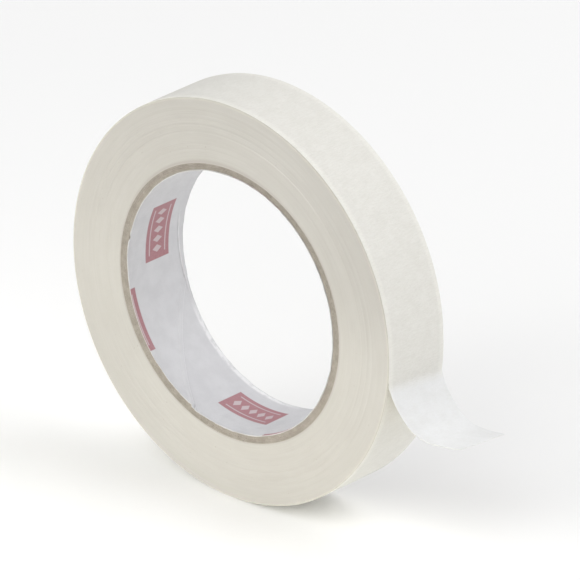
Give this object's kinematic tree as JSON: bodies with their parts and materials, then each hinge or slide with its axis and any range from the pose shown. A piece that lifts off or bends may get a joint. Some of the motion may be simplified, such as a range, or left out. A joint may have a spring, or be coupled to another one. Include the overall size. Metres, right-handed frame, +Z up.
{
  "type": "masking tape roll",
  "caption": "Roll of crepe-paper masking tape on a spiral-wound paper core, with a loose peeled end that curls away from its rim.",
  "frame": {"origin": "centre of the core's bore, half way across the tape's width", "axes": "+Y along the roll's axis, away from the front side face; +X towards the side where the loose end leaves; +Z up, with the roll standing on its rim"},
  "size_m": [0.1422, 0.0226, 0.1182],
  "materials": {
    "liner_paper": "matte white paper",
    "chipboard": "rough grey-tan chipboard",
    "tape_edges": "satin cream edges of wound tape",
    "crepe_paper": "matte creped paper",
    "adhesive": "satin, slightly tacky natural rubber coat"
  },
  "bodies": {
    "roll": {"core_liner": "liner_paper", "core_ply_1": "chipboard", "core_ply_2": "chipboard", "core_ply_3": "chipboard", "core_ply_4": "chipboard", "wound_tape": "tape_edges", "outer_turn_backing": "crepe_paper", "outer_turn_adhesive": "adhesive"},
    "peel_strip": {"peel_strip_backing": "crepe_paper", "peel_strip_adhesive": "adhesive"},
    "tail_inner": {"tail_inner_backing": "crepe_paper", "tail_inner_adhesive": "adhesive"},
    "tail_middle": {"tail_middle_backing": "crepe_paper", "tail_middle_adhesive": "adhesive"},
    "tail_end": {"tail_end_backing": "crepe_paper", "tail_end_adhesive": "adhesive"}
  },
  "joints": [
    {"name": "unwind", "type": "hinge", "parent": "roll", "child": "peel_strip", "pos_m": [0, 0, 0], "axis": [0, -1, 0], "continuous": true},
    {"name": "peel_bend", "type": "hinge", "parent": "peel_strip", "child": "tail_inner", "pos_m": [0.05901, 0, -0.00916], "axis": [0, -1, 0], "range_deg": [-30, 60], "stiffness_Nm_per_rad": 0.0003},
    {"name": "middle_bend", "type": "hinge", "parent": "tail_inner", "child": "tail_middle", "pos_m": [0.06498, 0, -0.01758], "axis": [0, -1, 0], "range_deg": [-25, 30], "stiffness_Nm_per_rad": 0.0003},
    {"name": "end_bend", "type": "hinge", "parent": "tail_middle", "child": "tail_end", "pos_m": [0.07422, 0, -0.0206], "axis": [0, -1, 0], "range_deg": [-25, 40], "stiffness_Nm_per_rad": 0.0003}
  ]
}
